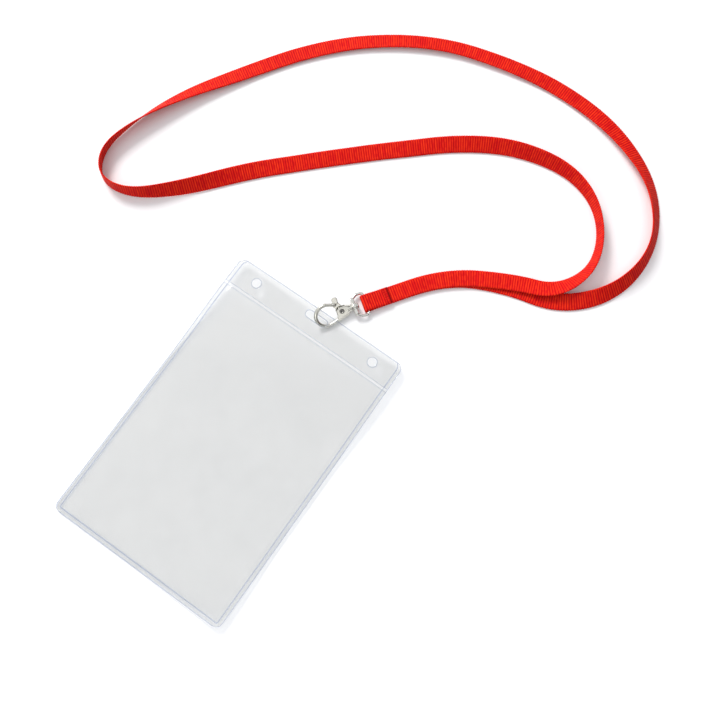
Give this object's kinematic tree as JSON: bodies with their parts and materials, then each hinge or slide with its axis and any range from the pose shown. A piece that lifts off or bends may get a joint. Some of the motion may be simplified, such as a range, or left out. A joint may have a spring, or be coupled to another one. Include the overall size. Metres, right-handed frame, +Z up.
{
  "type": "lanyard badge holder",
  "caption": "Clear badge pouch hooked on a swivel trigger clip, with a flat woven neck strap whose two ends are sewn round the clip's loop.",
  "frame": {"origin": "centre of the pouch's back face, on the surface it lies on", "axes": "+Z up out of the surface; +Y along the pouch towards its header and the clip; +X across the pouch"},
  "size_m": [0.3054, 0.3724, 0.0095],
  "materials": {
    "clear_film": "clear, slightly cool soft vinyl, glossy",
    "nickel": "bright nickel plate over a zinc casting",
    "nickel_wire": "bright nickel plate, smooth",
    "steel": "plain bright steel",
    "webbing": "ribbed polyester webbing, bright red",
    "thread": "twisted polyester sewing thread, red"
  },
  "bodies": {
    "pouch": {"back_film": "clear_film", "front_film": "clear_film", "header_strip": "clear_film"},
    "hook": {"hook_body": "nickel", "gate_rivet": "steel", "gate_spring": "steel", "swivel_pin": "nickel_wire"},
    "trigger": {"trigger_gate": "nickel"},
    "loop": {"swivel_loop": "nickel_wire"},
    "strap": {"strap": "webbing", "sewn_end": "webbing", "tucked_end": "webbing", "stitching": "thread"}
  },
  "joints": [
    {"name": "hook_swing", "type": "hinge", "parent": "pouch", "child": "hook", "pos_m": [0, 0.0807, 0.00536], "axis": [0, 0, 1], "range_deg": [-12, 45]},
    {"name": "trigger_pivot", "type": "hinge", "parent": "hook", "child": "trigger", "pos_m": [0.00854, 0.09318, 0.0038], "axis": [0.5217, -0.255, 0.8142], "range_deg": [0, 14], "stiffness_Nm_per_rad": 0.02},
    {"name": "loop_swivel", "type": "hinge", "parent": "hook", "child": "loop", "pos_m": [0.01311, 0.09942, 0.00282], "axis": [0.5701, 0.8142, -0.1103], "continuous": true},
    {"name": "strap_hinge", "type": "hinge", "parent": "loop", "child": "strap", "pos_m": [0.0171, 0.10512, 0.00205], "axis": [0.8192, -0.5736, 0], "range_deg": [-60, 60]}
  ]
}
